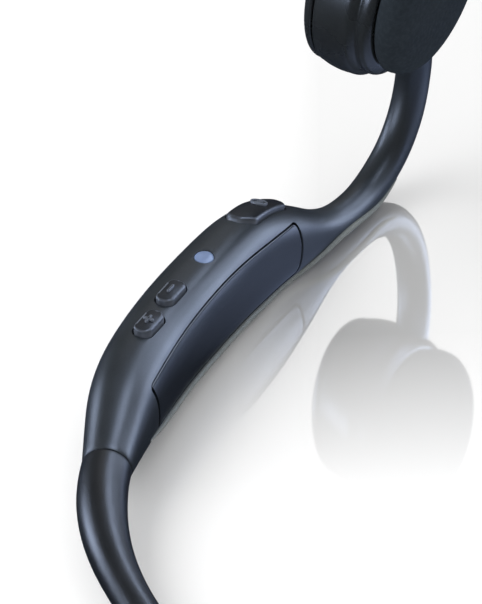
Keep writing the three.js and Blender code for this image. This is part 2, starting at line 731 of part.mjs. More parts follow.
function placeRightArm() {
  const add = (name, solid, finish) => placeOnArm(1, name, solid, finish);
  placeSharedPieces(1, "right");
  add("right_shell", rightShell(), "satin");
  add("volume_down_button", volumeKey(VOLUME_DOWN), "button");
  add("volume_up_button", volumeKey(VOLUME_UP), "button");
  add("multi_function_button", multiKey(), "button");
  add("light_window", lightWindow(), "window");
  add("button_seal", buttonSeal(), "seal");
  add("button_board", buttonBoard(), "board");
  add("volume_down_switch", volumeSwitch(VOLUME_DOWN), "steel");
  add("volume_up_switch", volumeSwitch(VOLUME_UP), "steel");
  add("multi_function_switch", multiSwitch(), "steel");
  add("light_chip", lightChip(), "chip");
  add("main_board", mainBoard(), "board");
  add("radio_shield", radioShield(), "steel");
  add("radio_chip", radioChip(), "chip");
  add("microphone", microphone(), "steel");
}

function placeLeftArm() {
  const add = (name, solid, finish) => placeOnArm(-1, name, solid, finish);
  placeSharedPieces(-1, "left");
  add("left_shell", portShell(), "satin");
  add("port_cover", portCover(), "silicone");
  add("charging_socket", chargingSocket(), "steel");
  add("battery", battery(), "cell");
  add("protection_board", protectionBoard(), "board");
}

function placeNeckband() {
  place("neckband_jacket", bandJacket(), "silicone");
  place("neckband_wire", bandCore(BAND_WIRE), "titanium");
  place("neckband_cable", bandCore(BAND_CABLE), "wire");
}

placeRightArm();
placeLeftArm();
placeNeckband();
headphones.position.x = DATUM_X;

export default headphones;
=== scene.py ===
import json
import math

import bpy
import numpy as np
from mathutils import Matrix, Vector
from mathutils.bvhtree import BVHTree


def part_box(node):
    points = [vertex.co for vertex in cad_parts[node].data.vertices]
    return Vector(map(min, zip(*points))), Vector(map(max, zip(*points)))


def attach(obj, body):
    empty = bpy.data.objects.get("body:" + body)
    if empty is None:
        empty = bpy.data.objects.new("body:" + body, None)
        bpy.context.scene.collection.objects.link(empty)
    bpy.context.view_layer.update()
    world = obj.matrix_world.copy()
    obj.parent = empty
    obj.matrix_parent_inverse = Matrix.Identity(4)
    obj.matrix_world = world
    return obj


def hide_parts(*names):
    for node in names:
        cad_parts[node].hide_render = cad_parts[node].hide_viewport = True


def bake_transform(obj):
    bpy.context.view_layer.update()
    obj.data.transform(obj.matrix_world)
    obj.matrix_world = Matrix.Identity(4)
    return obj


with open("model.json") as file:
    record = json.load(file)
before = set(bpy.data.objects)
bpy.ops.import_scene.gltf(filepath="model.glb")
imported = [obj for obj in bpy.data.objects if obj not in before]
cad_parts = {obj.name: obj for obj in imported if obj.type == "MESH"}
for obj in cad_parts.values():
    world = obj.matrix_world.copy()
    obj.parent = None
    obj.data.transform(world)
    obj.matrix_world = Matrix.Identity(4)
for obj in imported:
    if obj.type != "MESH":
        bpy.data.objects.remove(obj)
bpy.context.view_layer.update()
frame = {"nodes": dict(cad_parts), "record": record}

MM = 0.001  # the sizes below are in millimetres, and every mesh is in metres

# ---- sizes from the frame


def node_box(node):
    """Lowest and highest corner of a CAD node, in millimetres."""
    low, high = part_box(node)
    return np.array(low) / MM, np.array(high) / MM


def node_middle(node):
    low, high = node_box(node)
    return (low + high) / 2


X_AXIS = np.array([1.0, 0, 0])
Y_AXIS = np.array([0, 1.0, 0])
Z_AXIS = np.array([0, 0, 1.0])
LEVEL = (X_AXIS, Y_AXIS)  # the two axes of a level outline


def node_middle_at(node, height):
    """The middle of a CAD node, moved to another height."""
    return node_middle(node) * (X_AXIS + Y_AXIS) + Z_AXIS * height


# The arm's datum: where the hook leaves the module, level with the floor.
VOLUME_DOWN_AT = np.array([-37, 3.7, 0])
ARM_ORIGIN = (node_middle("volume_down_button") - VOLUME_DOWN_AT) * (X_AXIS + Y_AXIS)
MODULE_TOP = node_box("light_window")[1][2]
WALL = 1.3
MOUNTS = {m["name"]: m for m in frame["record"]["mounts"]}

# Sections of the arm from the neckband seam to the pod: centre, half width, half height, squareness.
HOOK_RADIUS = 2.65
TUBE = (HOOK_RADIUS, HOOK_RADIUS, 2)
SECTIONS = [
    ((-65, -1.9, 7.6), (3.5, 3.5, 2)),
    ((-60, -0.1, 7.8), (4.2, 5, 2.2)),
    ((-54, 1.9, 8.2), (5, 6.8, 2.4)),
    ((-48, 3.2, 8.5), (5.3, 7.5, 2.5)),
    ((-38, 4.2, 8.6), (5.4, 7.6, 2.6)),
    ((-26, 4.3, 8.6), (5.4, 7.6, 2.6)),
    ((-17, 4, 8.2), (5.3, 7.6, 2.6)),
    ((-11, 3.2, 7.1), (4.9, 6.7, 2.5)),
    ((-6, 2, 5.6), (4.2, 5.2, 2.4)),
    ((-1, 0.7, 3.9), (3.3, 3.6, 2.2)),
    ((4, -0.3, 2.85), (2.8, 2.75, 2)),
    ((9, -1, HOOK_RADIUS), TUBE),
    ((14, -1.4, 3.3), TUBE),
    ((20, -2.1, 6.6), TUBE),
    ((23.5, -2.8, 12.2), TUBE),
    ((24.6, -3.4, 19.1), TUBE),
    ((23, -4.4, 25.1), TUBE),
    ((20, -5.4, 28.6), TUBE),
]
CAVITY_FROM, CAVITY_TO = 2, 7  # sections between which the module is hollow
PER_SECTION = 12  # rings from one section to the next
RING = 112  # points of a ring
SMOOTHING = 20  # passes over the path and the sizes

# The slot around the inner cover: its half width, and how far its lips roll over.
SLOT = 0.19
LIP = 0.14
COVER_DEPTH = 1.5  # how far past the arm's datum the opening for the cover goes

# ---- meshes


def make_mesh(name, points, faces):
    """A mesh object from points in millimetres."""
    mesh = bpy.data.meshes.new(name)
    mesh.from_pydata([tuple(p) for p in np.asarray(points, float) * MM], [], faces)
    mesh.validate()
    mesh.update()
    piece = bpy.data.objects.new(name, mesh)
    bpy.context.scene.collection.objects.link(piece)
    return piece


def signed_volume(mesh):
    mesh.calc_loop_triangles()
    corners = np.array([v.co for v in mesh.vertices])
    tris = np.array([t.vertices[:] for t in mesh.loop_triangles])
    a, b, c = corners[tris[:, 0]], corners[tris[:, 1]], corners[tris[:, 2]]
    return float(np.einsum("ij,ij->i", a, np.cross(b, c)).sum())


def closed_body(name, points, faces):
    """A mesh object with its faces turned outwards."""
    piece = make_mesh(name, points, faces)
    if signed_volume(piece.data) < 0:
        piece.data.flip_normals()
    return piece


def side_faces(rings, closed=False):
    """Faces between neighbouring rings, and, when closed, between the last ring and the first."""
    count = len(rings[0])
    faces = []
    for i in range(len(rings) if closed else len(rings) - 1):
        after = (i + 1) % len(rings)
        for j in range(count):
            k = (j + 1) % count
            faces.append((i * count + j, i * count + k, after * count + k, after * count + j))
    return faces


def loft_arrays(rings):
    """Points and faces of a body through rings of points, with a face at each end."""
    count = len(rings[0])
    last = (len(rings) - 1) * count
    ends = [tuple(reversed(range(count))), tuple(range(last, last + count))]
    return np.concatenate(rings), side_faces(rings) + ends


def loft(name, rings):
    return closed_body(name, *loft_arrays(rings))


def closed_band(name, rings):
    """A ring-shaped body: a loft whose last ring joins its first."""
    return closed_body(name, np.concatenate(rings), side_faces(rings, closed=True))


def apply_modifiers(piece):
    graph = bpy.context.evaluated_depsgraph_get()
    made = bpy.data.meshes.new_from_object(piece.evaluated_get(graph))
    piece.modifiers.clear()
    old = piece.data
    piece.data = made
    bpy.data.meshes.remove(old)


def combine(piece, other, operation):
    """Joins other to piece, cuts it out of piece, or keeps what they share. other is used up."""
    modifier = piece.modifiers.new("combine", "BOOLEAN")
    modifier.object = other
    modifier.operation = operation
    modifier.solver = "MANIFOLD"
    apply_modifiers(piece)
    bpy.data.objects.remove(other)
    return piece


def join(piece, other):
    """Adds other's faces to piece's mesh. other is used up."""
    count = len(piece.data.vertices)
    points = [v.co[:] for v in piece.data.vertices] + [v.co[:] for v in other.data.vertices]
    faces = [tuple(f.vertices) for f in piece.data.polygons]
    faces += [tuple(v + count for v in f.vertices) for f in other.data.polygons]
    mesh = bpy.data.meshes.new(piece.name)
    mesh.from_pydata(points, [], faces)
    piece.data = mesh
    bpy.data.objects.remove(other)


def cut(piece, *others):
    for other in others:
        combine(piece, other, "DIFFERENCE")
    return piece


def smooth_shade(piece, angle=35):
    """Smooth shading with crisp edges where faces meet at more than angle degrees."""
    piece.data.shade_smooth()
    piece.data.set_sharp_from_angle(angle=math.radians(angle))
    weighted = piece.modifiers.new("weighted", "WEIGHTED_NORMAL")
    weighted.keep_sharp = True
    weighted.weight = 80
    return piece


# ---- the arm's surface

SAME_POINT = 0.01  # a step shorter than this counts as none


def catmull_rom(points, at):
    """Point on the centripetal Catmull-Rom curve through points; at counts sections."""
    last = len(points) - 1
    i = min(int(at), last - 1)
    t = at - i
    p1, p2 = points[i], points[i + 1]
    p0 = points[i - 1] if i > 0 else 2 * p1 - p2
    p3 = points[i + 2] if i + 2 <= last else 2 * p2 - p1
    steps = [np.linalg.norm(b - a) ** 0.5 for a, b in ((p0, p1), (p1, p2), (p2, p3))]
    d1 = steps[1] if steps[1] > SAME_POINT else 1.0
    d0 = steps[0] if steps[0] > SAME_POINT else d1
    d2 = steps[2] if steps[2] > SAME_POINT else d1
    m1 = d1 * ((p1 - p0) / d0 - (p2 - p0) / (d0 + d1) + (p2 - p1) / d1)
    m2 = d1 * ((p2 - p1) / d1 - (p3 - p1) / (d1 + d2) + (p3 - p2) / d2)
    square, cube = t * t, t * t * t
    return (
        (2 * cube - 3 * square + 1) * p1
        + (cube - 2 * square + t) * m1
        + (3 * square - 2 * cube) * p2
        + (cube - square) * m2
    )


def relax(values, passes):
    """Evens out a run of values, keeping both ends."""
    values = values.copy()
    for _ in range(passes):
        values[1:-1] = (values[:-2] + 2 * values[1:-1] + values[2:]) / 4
    return values


def arm_stations():
    """Centres, side vectors, up vectors and sizes of closely spaced sections along the arm."""
    centres = np.array([np.array(c, float) for c, _ in SECTIONS])
    sizes = np.array([np.array(s, float) for _, s in SECTIONS])
    at = np.linspace(0, len(SECTIONS) - 1, (len(SECTIONS) - 1) * PER_SECTION + 1)
    path = relax(np.array([catmull_rom(centres, a) for a in at]), SMOOTHING)
    size = relax(np.array([catmull_rom(sizes, a) for a in at]), SMOOTHING)
    tangents = np.gradient(path, axis=0)
    tangents /= np.linalg.norm(tangents, axis=1)[:, None]
    side = np.array([0.0, 1.0, 0.0])
    sides = []
    for tangent in tangents:
        side = side - tangent * (side @ tangent)
        side /= np.linalg.norm(side)
        sides.append(side)
    sides = np.array(sides)
    ups = np.cross(tangents, sides)
    return path + ARM_ORIGIN, sides, ups, size


PATH, SIDES, UPS, SIZES = arm_stations()


def oval(centre, side, up, half_width, half_height, square=2.0, count=RING):
    """A ring of points: square 2 is an ellipse, larger is boxier."""
    angle = np.linspace(0, 2 * math.pi, count, endpoint=False)
    across = np.sign(np.cos(angle)) * np.abs(np.cos(angle)) ** (2 / square) * half_width
    above = np.sign(np.sin(angle)) * np.abs(np.sin(angle)) ** (2 / square) * half_height
    return centre + np.outer(across, side) + np.outer(above, up)


def arm_rings(first, last, inset=0.0, count=RING):
    """Rings of the arm between two sections, inset from its surface."""
    chosen = range(int(first * PER_SECTION), int(last * PER_SECTION) + 1)
    return [
        oval(PATH[i], SIDES[i], UPS[i], SIZES[i][0] - inset, SIZES[i][1] - inset, SIZES[i][2], count)
        for i in chosen
    ]


def surface_tree():
    points, faces = loft_arrays(arm_rings(0, len(SECTIONS) - 1))
    return BVHTree.FromPolygons([Vector(p) for p in points], faces)


ARM_TREE = surface_tree()
FAR = 60.0  # well outside the arm


def on_arm(point, inward):
    """Where a line through point, travelling inward, first meets the arm's surface."""
    direction = Vector(inward).normalized()
    hit = ARM_TREE.ray_cast(Vector(point) - direction * FAR, direction)[0]
    return np.array(hit) if hit else np.array(point, float)


# ---- outlines and their cutters


def relax_closed(values, passes):
    """Evens out a closed run of values or points."""
    for _ in range(passes):
        values = (np.roll(values, 1, axis=0) + 2 * values + np.roll(values, -1, axis=0)) / 4
    return values


def closed_outline(corners, spacing, rounding):
    """An even closed run of points through corners, with its corners rounded off."""
    corners = np.array(corners, float)
    loop = np.vstack([corners, corners[:1]])
    lengths = np.linalg.norm(np.diff(loop, axis=0), axis=1)
    reach = np.concatenate([[0], np.cumsum(lengths)])
    count = int(reach[-1] / spacing)
    at = np.linspace(0, reach[-1], count, endpoint=False)
    points = np.column_stack([np.interp(at, reach, loop[:, k]) for k in range(2)])
    return relax_closed(points, rounding)


def outline_normals(points):
    """Outward normals of a closed outline."""
    along = np.roll(points, -1, axis=0) - np.roll(points, 1, axis=0)
    normals = np.column_stack([along[:, 1], -along[:, 0]])
    normals /= np.linalg.norm(normals, axis=1)[:, None]
    area = np.sum(points[:, 0] * np.roll(points[:, 1], -1) - np.roll(points[:, 0], -1) * points[:, 1])
    return normals if area > 0 else -normals


def rounded_rectangle(length, width, corner, spacing=0.12):
    """Outline of a rectangle with round corners, about its own middle."""
    x, y = length / 2 - corner, width / 2 - corner
    points = []
    steps = max(4, int(corner * math.pi / 2 / spacing))
    for (cx, cy), start in (((x, -y), -90), ((x, y), 0), ((-x, y), 90), ((-x, -y), 180)):
        for k in range(steps + 1):
            angle = math.radians(start + 90 * k / steps)
            points.append((cx + corner * math.cos(angle), cy + corner * math.sin(angle)))
    return closed_outline(points, spacing, 1)


LIP_START = 0.15  # share of the quarter turn that the lip leaves out at the surface


def lip_profile(gap, lip, steps=5):
    """Offset and depth pairs of a slot wall whose edge rolls over: widest at the surface."""
    pairs = []
    for k in range(steps + 1):
        angle = math.pi / 2 * (LIP_START + (1 - LIP_START) * k / steps)
        pairs.append((gap + lip * (1 - math.sin(angle)), lip * (1 - math.cos(angle))))
    first_depth = pairs[0][1]
    return [(offset, depth - first_depth) for offset, depth in pairs]


def stand(points, origin, axes):
    """Outline points placed in space by an origin and two in-plane axes."""
    return origin + points[:, :1] * axes[0] + points[:, 1:] * axes[1]


CUTTER_RISE = 2.5  # how far a cutter stands out of the surface


def lip_cutter(outline, origin, axes, inward, gap, lip, depth):
    """A plug through the arm's wall whose sides flare where it meets the arm's surface.

    It ends at a depth below its origin. A negative gap and lip make the inverse: a keeper whose
    sides draw in at the surface.
    """
    normals = outline_normals(outline)
    flat = stand(outline, origin, axes)
    surface = np.array([on_arm(p, inward) for p in flat])
    lift = relax_closed((surface - flat) @ inward, 3)
    profile = lip_profile(gap, lip) if gap > 0 else [(-o, d) for o, d in lip_profile(-gap, -lip)]
    rings = []
    for offset, below in [(profile[0][0], -CUTTER_RISE)] + profile:
        flat = stand(outline + normals * offset, origin, axes)
        rings.append(flat + np.outer(lift + below, inward))
    flat = stand(outline + normals * gap, origin, axes)
    level = flat - np.outer((flat - origin) @ inward, inward)
    rings.append(level + inward * depth)
    return loft("cutter", rings)


# ---- the inner cover's outline

COVER_LOW, COVER_HIGH = node_box("right_inner_cover")
COVER_GAP = 0.25  # the CAD cover is this much smaller than its opening
COVER_REAR = COVER_LOW[0] - COVER_GAP
COVER_FRONT = COVER_HIGH[0] + COVER_GAP
COVER_TOP = COVER_HIGH[2] + COVER_GAP
COVER_BOTTOM_FRONT = COVER_LOW[2] - COVER_GAP
COVER_BOTTOM_REAR = COVER_BOTTOM_FRONT + 2.5
COVER_REAR_PULL = (COVER_REAR + 0.9, 9)
COVER_FRONT_PULL = (COVER_FRONT + 0.3, 8)
COVER_BOTTOM_PULL = (COVER_REAR + 9.7, COVER_BOTTOM_FRONT + 1.2)
COVER_TOP_REAR = COVER_TOP - 1.0
COVER_TOP_FRONT = COVER_TOP - 2.5


def quadratic(a, b, c, steps):
    """Points of a quadratic curve from a towards c, pulled to b; the end point is left out."""
    a, b, c = (np.array(p, float) for p in (a, b, c))
    return [(1 - t) ** 2 * a + 2 * t * (1 - t) * b + t * t * c for t in np.arange(steps) / steps]


def cover_outline():
    """The cover's edge, seen from the head side, as x and z."""
    middle = ((COVER_FRONT + COVER_REAR) / 2, COVER_TOP)
    rear_top = (COVER_REAR, COVER_TOP_REAR)
    front_top = (COVER_FRONT, COVER_TOP_FRONT)
    rear_bottom = (COVER_REAR + 0.5, COVER_BOTTOM_REAR)
    front_bottom = (COVER_FRONT - 1, COVER_BOTTOM_FRONT)
    corners = quadratic(rear_bottom, COVER_REAR_PULL, rear_top, 12)
    corners += quadratic(rear_top, (COVER_REAR + 12, COVER_TOP), middle, 16)
    corners += quadratic(middle, (COVER_FRONT - 12, COVER_TOP), front_top, 16)
    corners += quadratic(front_top, COVER_FRONT_PULL, front_bottom, 12)
    corners += quadratic(front_bottom, COVER_BOTTOM_PULL, rear_bottom, 24)
    return closed_outline(corners, 0.3, 5)


COVER_OUTLINE = cover_outline()


def cover_cutter(gap, lip, depth):
    origin = ARM_ORIGIN * Y_AXIS
    return lip_cutter(COVER_OUTLINE, origin, (X_AXIS, Z_AXIS), Y_AXIS, gap, lip, depth)


# ---- materials

MATERIALS = {}  # one for each material slot of the record, and one for the floor


class Graph:
    """The nodes of a material or of the world."""

    def __init__(self, owner):
        owner.use_nodes = True
        self.nodes = owner.node_tree.nodes
        self.add = self.nodes.new
        self.link = owner.node_tree.links.new

    def noise(self, coordinate, scale, detail=3.0, rough=0.5):
        texture = self.add("ShaderNodeTexNoise")
        texture.inputs["Scale"].default_value = scale
        texture.inputs["Detail"].default_value = detail
        texture.inputs["Roughness"].default_value = rough
        self.link(coordinate, texture.inputs["Vector"])
        return texture.outputs["Fac"]

    def remap(self, value, from_low, from_high, to_low, to_high):
        node = self.add("ShaderNodeMapRange")
        node.inputs["From Min"].default_value = from_low
        node.inputs["From Max"].default_value = from_high
        node.inputs["To Min"].default_value = to_low
        node.inputs["To Max"].default_value = to_high
        self.link(value, node.inputs["Value"])
        return node.outputs["Result"]

    def mix_colour(self, share, first, second):
        """first and second are colours or sockets."""
        node = self.add("ShaderNodeMix")
        node.data_type = "RGBA"
        self.link(share, node.inputs["Factor"])
        for value, socket in ((first, node.inputs[6]), (second, node.inputs[7])):
            if isinstance(value, tuple):
                socket.default_value = (*value, 1)
            else:
                self.link(value, socket)
        return node.outputs[2]

    def mix_shader(self, share, first, second):
        node = self.add("ShaderNodeMixShader")
        self.link(share, node.inputs["Fac"])
        self.link(first, node.inputs[1])
        self.link(second, node.inputs[2])
        return node.outputs[0]

    def add_bump(self, shader, height, distance, strength):
        bump = self.add("ShaderNodeBump")
        bump.inputs["Distance"].default_value = distance
        bump.inputs["Strength"].default_value = strength
        self.link(height, bump.inputs["Height"])
        self.link(bump.outputs["Normal"], shader.inputs["Normal"])

    def dot(self, vector, direction):
        """How far a vector reaches along a fixed direction."""
        node = self.add("ShaderNodeVectorMath")
        node.operation = "DOT_PRODUCT"
        self.link(vector, node.inputs[0])
        node.inputs[1].default_value = direction
        return node.outputs["Value"]

    def arithmetic(self, operation, first, second=0.0):
        """first is a socket; second is a number or a socket."""
        node = self.add("ShaderNodeMath")
        node.operation = operation
        self.link(first, node.inputs[0])
        if isinstance(second, float):
            node.inputs[1].default_value = second
        else:
            self.link(second, node.inputs[1])
        return node.outputs[0]


def new_material(name):
    MATERIALS[name] = bpy.data.materials.new(name)
    return Graph(MATERIALS[name])


def new_surface(name):
    """A new material's graph, its shader and the object's own coordinates."""
    graph = new_material(name)
    return graph, graph.nodes["Principled BSDF"], graph.add("ShaderNodeTexCoord").outputs["Object"]


def moulded(name, base, mottle, roughness, grain, grain_size, edge_wear_and_highlight=None, coat=0.0, specular=0.5):
    """Moulded plastic or rubber: mottled colour, uneven roughness, fine grain, and paler edges that are
    partly wear and partly a painted highlight.

    grain is the height of the surface texture and grain_size its pitch, both in millimetres.
    """
    graph, shader, coordinate = new_surface(name)
    broad = graph.noise(coordinate, 140, 4)
    fine = graph.noise(coordinate, 1 / (grain_size * MM), 2, 0.6)
    speck = graph.noise(coordinate, 0.35 / (grain_size * MM), 2, 0.6)
    colour = graph.mix_colour(graph.remap(broad, 0.2, 0.8, 0, 1), base, mottle)
    paler = tuple(1.6 * c for c in mottle)
    colour = graph.mix_colour(graph.remap(speck, 0.4, 0.75, 0, 0.35), colour, paler)
    # Paler convex edges: partly wear, partly a painted highlight along the rims.
    if edge_wear_and_highlight:
        edge = graph.add("ShaderNodeNewGeometry").outputs["Pointiness"]
        colour = graph.mix_colour(graph.remap(edge, 0.516, 0.55, 0, 0.5), colour, edge_wear_and_highlight)
    graph.link(colour, shader.inputs["Base Color"])
    uneven = graph.remap(broad, 0.3, 0.7, roughness * 0.93, roughness * 1.08)
    graph.link(uneven, shader.inputs["Roughness"])
    shader.inputs["Specular IOR Level"].default_value = specular
    shader.inputs["Coat Weight"].default_value = coat
    shader.inputs["Coat Roughness"].default_value = 0.12
    graph.add_bump(shader, fine, grain * MM, 1.0)


METAL_GRAIN = 0.004


def metal(name, base, tint, roughness, stretch):
    """Metal with drawn or rolled marks: stretch makes the marks long along one axis."""
    graph, shader, coordinate = new_surface(name)
    mapping = graph.add("ShaderNodeMapping")
    mapping.inputs["Scale"].default_value = stretch
    graph.link(coordinate, mapping.inputs["Vector"])
    marks = graph.noise(mapping.outputs["Vector"], 2500, 3)
    broad = graph.noise(coordinate, 300, 3)
    colour = graph.mix_colour(graph.remap(broad, 0.35, 0.65, 0, 1), base, tint)
    graph.link(colour, shader.inputs["Base Color"])
    shader.inputs["Metallic"].default_value = 1.0
    uneven = graph.remap(marks, 0.3, 0.7, roughness * 0.8, roughness * 1.25)
    graph.link(uneven, shader.inputs["Roughness"])
    graph.add_bump(shader, marks, METAL_GRAIN * MM, 0.8)


def circuit_board(name, mask, copper):
    """Solder mask over a fine network of tracks and pads."""
    graph, shader, coordinate = new_surface(name)
    tracks = graph.add("ShaderNodeTexVoronoi")
    tracks.feature = "DISTANCE_TO_EDGE"
    tracks.inputs["Scale"].default_value = 700
    graph.link(coordinate, tracks.inputs["Vector"])
    line = graph.remap(tracks.outputs["Distance"], 0.02, 0.07, 1, 0)
    tint = graph.mix_colour(line, mask, tuple(2.2 * c for c in mask))
    pads = graph.add("ShaderNodeTexVoronoi")
    pads.inputs["Scale"].default_value = 450
    graph.link(coordinate, pads.inputs["Vector"])
    pad = graph.remap(pads.outputs["Distance"], 0.16, 0.2, 1, 0)
    graph.link(graph.mix_colour(pad, tint, copper), shader.inputs["Base Color"])
    shader.inputs["Roughness"].default_value = 0.35
    graph.link(graph.remap(pad, 0, 1, 0, 0.9), shader.inputs["Metallic"])
    graph.add_bump(shader, line, 0.02 * MM, 0.6)


def wound_copper(name):
    """Enamelled copper winding: fine turns stacked along the pod's axis."""
    graph, shader, coordinate = new_surface(name)
    wave = graph.add("ShaderNodeTexWave")
    wave.bands_direction = "Y"
    wave.inputs["Scale"].default_value = 900
    graph.link(coordinate, wave.inputs["Vector"])
    colour = graph.mix_colour(wave.outputs["Fac"], (0.28, 0.09, 0.03), (0.75, 0.33, 0.14))
    graph.link(colour, shader.inputs["Base Color"])
    shader.inputs["Metallic"].default_value = 0.9
    shader.inputs["Roughness"].default_value = 0.32
    graph.add_bump(shader, wave.outputs["Fac"], 0.05 * MM, 0.8)


def light_plastic(name):
    """Milky pale blue plastic of the light window, with a faint painted glow as if lit from below."""
    graph, shader, coordinate = new_surface(name)
    cloud = graph.noise(coordinate, 900, 3)
    share = graph.remap(cloud, 0.3, 0.7, 0, 1)
    colour = graph.mix_colour(share, (0.12, 0.17, 0.3), (0.15, 0.21, 0.36))
    graph.link(colour, shader.inputs["Base Color"])
    # The same colour as emission: the window's painted glow.
    graph.link(colour, shader.inputs["Emission Color"])
    shader.inputs["Emission Strength"].default_value = 0.1
    shader.inputs["Roughness"].default_value = 0.3
    shader.inputs["Subsurface Weight"].default_value = 0.3
    shader.inputs["Subsurface Radius"].default_value = (0.0006, 0.0008, 0.0012)
    graph.add_bump(shader, cloud, 0.006 * MM, 0.6)


def build_materials():
    moulded("satin_shell", (0.008, 0.011, 0.014), (0.013, 0.017, 0.021), 0.40, 0.0035, 0.1, specular=0.45)
    moulded("cover_plastic", (0.005, 0.007, 0.009), (0.009, 0.011, 0.014), 0.33, 0.002, 0.1, specular=0.4)
    moulded("gloss_shell", (0.011, 0.013, 0.015), (0.016, 0.019, 0.021), 0.28, 0.001, 0.12, specular=0.4)
    moulded("band_silicone", (0.003, 0.004, 0.005), (0.006, 0.007, 0.009), 0.34, 0.024, 0.16, specular=0.45)
    moulded("pad_silicone", (0.017, 0.022, 0.028), (0.022, 0.028, 0.035), 0.85, 0.018, 0.22, specular=0.01)
    # The buttons' paler rims are partly wear and partly a painted highlight.
    moulded("button_plastic", (0.004, 0.005, 0.008), (0.007, 0.009, 0.013), 0.36, 0.006, 0.12,
            edge_wear_and_highlight=(0.2, 0.23, 0.29), specular=0.35)
    moulded("seal_rubber", (0.004, 0.004, 0.005), (0.006, 0.006, 0.007), 0.75, 0.01, 0.15)
    # Pale grey-green for the cord along the lower edge: a painted reflection of the floor's light.
    moulded("piping_rubber", (0.15, 0.165, 0.158), (0.18, 0.195, 0.187), 0.7, 0.012, 0.12, specular=0.2)
    moulded("cable_rubber", (0.01, 0.011, 0.014), (0.015, 0.016, 0.02), 0.55, 0.01, 0.15)
    moulded("dark_plastic", (0.008, 0.008, 0.009), (0.013, 0.013, 0.014), 0.5, 0.006, 0.08)
    moulded("cell", (0.14, 0.17, 0.2), (0.19, 0.22, 0.25), 0.35, 0.02, 0.5, coat=0.2)
    metal("steel", (0.42, 0.43, 0.45), (0.52, 0.53, 0.55), 0.32, (1, 6, 1))
    metal("titanium", (0.32, 0.32, 0.33), (0.4, 0.39, 0.39), 0.38, (0.2, 0.2, 4))
    circuit_board("board", (0.01, 0.06, 0.03), (0.75, 0.5, 0.2))
    wound_copper("copper")
    light_plastic("window")


build_materials()


def set_material(piece, slot):
    piece.data.materials.clear()
    piece.data.materials.append(MATERIALS[slot])


def finish_piece(piece, slot, body, node):
    """Gives a piece its finish and its body, if it has just one, and hides the CAD node it replaces."""
    set_material(piece, slot)
    if body:
        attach(piece, body)
    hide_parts(node)


# ---- the two arms

BORE_RADIUS = 2.4  # of the opening for the neckband's plug
BORE_REACH = 8


def mirror(piece):
    """Turns a right-hand piece into its left-hand twin."""
    piece.data.transform(Matrix.Diagonal((1, -1, 1, 1)))
    piece.data.flip_normals()


def finish_on_arm(piece, arm, slot, node):
    """Finishes a piece that was made for the right arm; for the left arm it is mirrored first."""
    if arm == "left":
        mirror(piece)
    finish_piece(smooth_shade(piece), slot, arm + "_arm", arm + "_" + node)


def hollow():
    return loft("hollow", arm_rings(CAVITY_FROM, CAVITY_TO, WALL, 64))


def rear_bore():
    direction = PATH[1] - PATH[0]
    direction /= np.linalg.norm(direction)
    up = np.cross(direction, SIDES[0])
    ends = [PATH[0] + direction * reach for reach in (-BORE_REACH, BORE_REACH)]
    return loft("bore", [oval(end, SIDES[0], up, BORE_RADIUS, BORE_RADIUS, 2, 32) for end in ends])


def rounded_end(rings, centre, radius, steps=4):
    """Rolls the first ring of a loft over by radius, so that its end has a soft edge."""
    out = rings[0] - centre
    reach = np.linalg.norm(out, axis=1)[:, None]
    along = rings[1].mean(axis=0) - rings[0].mean(axis=0)
    along /= np.linalg.norm(along)
    rolled = []
    for k in range(steps):
        angle = math.pi / 2 * k / steps
        inset = radius * (1 - math.sin(angle))
        rolled.append(centre + out * (1 - inset / reach) + along * radius * (1 - math.cos(angle)))
    start = 1
    while (rings[start].mean(axis=0) - rings[0].mean(axis=0)) @ along < radius * 1.1:
        start += 1
    return rolled + rings[start:]


def arm_shell(name):
    """Module casing and ear hook in one, with the opening for the inner cover."""
    shell = loft(name, rounded_end(arm_rings(0, len(SECTIONS) - 1), PATH[0], 0.2))
    return cut(shell, hollow(), cover_cutter(SLOT, LIP, COVER_DEPTH), rear_bore())


COVER_FROM, COVER_TO = 1, 9  # sections between which the cover lies
GASKET_DEPTH = 0.6


def inner_cover(name):
    cover = cut(loft(name, arm_rings(COVER_FROM, COVER_TO)), hollow())
    return combine(cover, cover_cutter(-SLOT, -LIP, COVER_DEPTH - 0.3), "INTERSECT")


def dark_gasket(name):
    """The rubber in the slot around the cover, below its lips."""
    slot_filler = cut(loft(name, arm_rings(COVER_FROM, COVER_TO, GASKET_DEPTH)), hollow())
    combine(slot_filler, cover_cutter(SLOT + 0.1, LIP, COVER_DEPTH), "INTERSECT")
    return cut(slot_filler, cover_cutter(-SLOT, -LIP, COVER_DEPTH + 1))


# A pale cord along the arm's lower inner edge, its pale colour a painted reflection of the floor's light
# there:
# section number, angle round the section in degrees, how far its middle stands off the surface, and its
# radius.
EDGE_REFLECTION_CORD = np.array([
    (1.5, 201, -0.1, 0.2),
    (2.5, 210, 0.25, 0.4),
    (5, 223.5, 0.3, 0.5),
    (7, 237, 0.3, 0.5),
    (8, 240, 0.15, 0.5),
    (9.5, 188, 0, 0.5),
    (10.5, 180, 0, 0.5),
    (12, 204, 0, 0.35),
    (12.5, 208, -0.1, 0.2),
])


def edge_reflection_cord(name):
    first, last = EDGE_REFLECTION_CORD[0, 0], EDGE_REFLECTION_CORD[-1, 0]
    at = np.arange(int(first * PER_SECTION), int(last * PER_SECTION) + 1)
    columns = [relax(np.interp(at / PER_SECTION, EDGE_REFLECTION_CORD[:, 0], EDGE_REFLECTION_CORD[:, k]), 30) for k in (1, 2, 3)]
    rings = []
    for i, degrees, stand_off, radius in zip(at, *columns):
        half_width, half_height, square = SIZES[i]
        angle = math.radians(degrees)
        across = math.copysign(abs(math.cos(angle)) ** (2 / square), math.cos(angle)) * half_width
        above = math.copysign(abs(math.sin(angle)) ** (2 / square), math.sin(angle)) * half_height
        outward = SIDES[i] * across + UPS[i] * above
        reach = np.linalg.norm(outward)
        outward /= reach
        centre = PATH[i] + outward * (reach + stand_off)
        along = np.cross(SIDES[i], UPS[i])
        rings.append(oval(centre, outward, np.cross(along, outward), radius, radius, 2, 24))
    return loft(name, rings)


# ---- controls

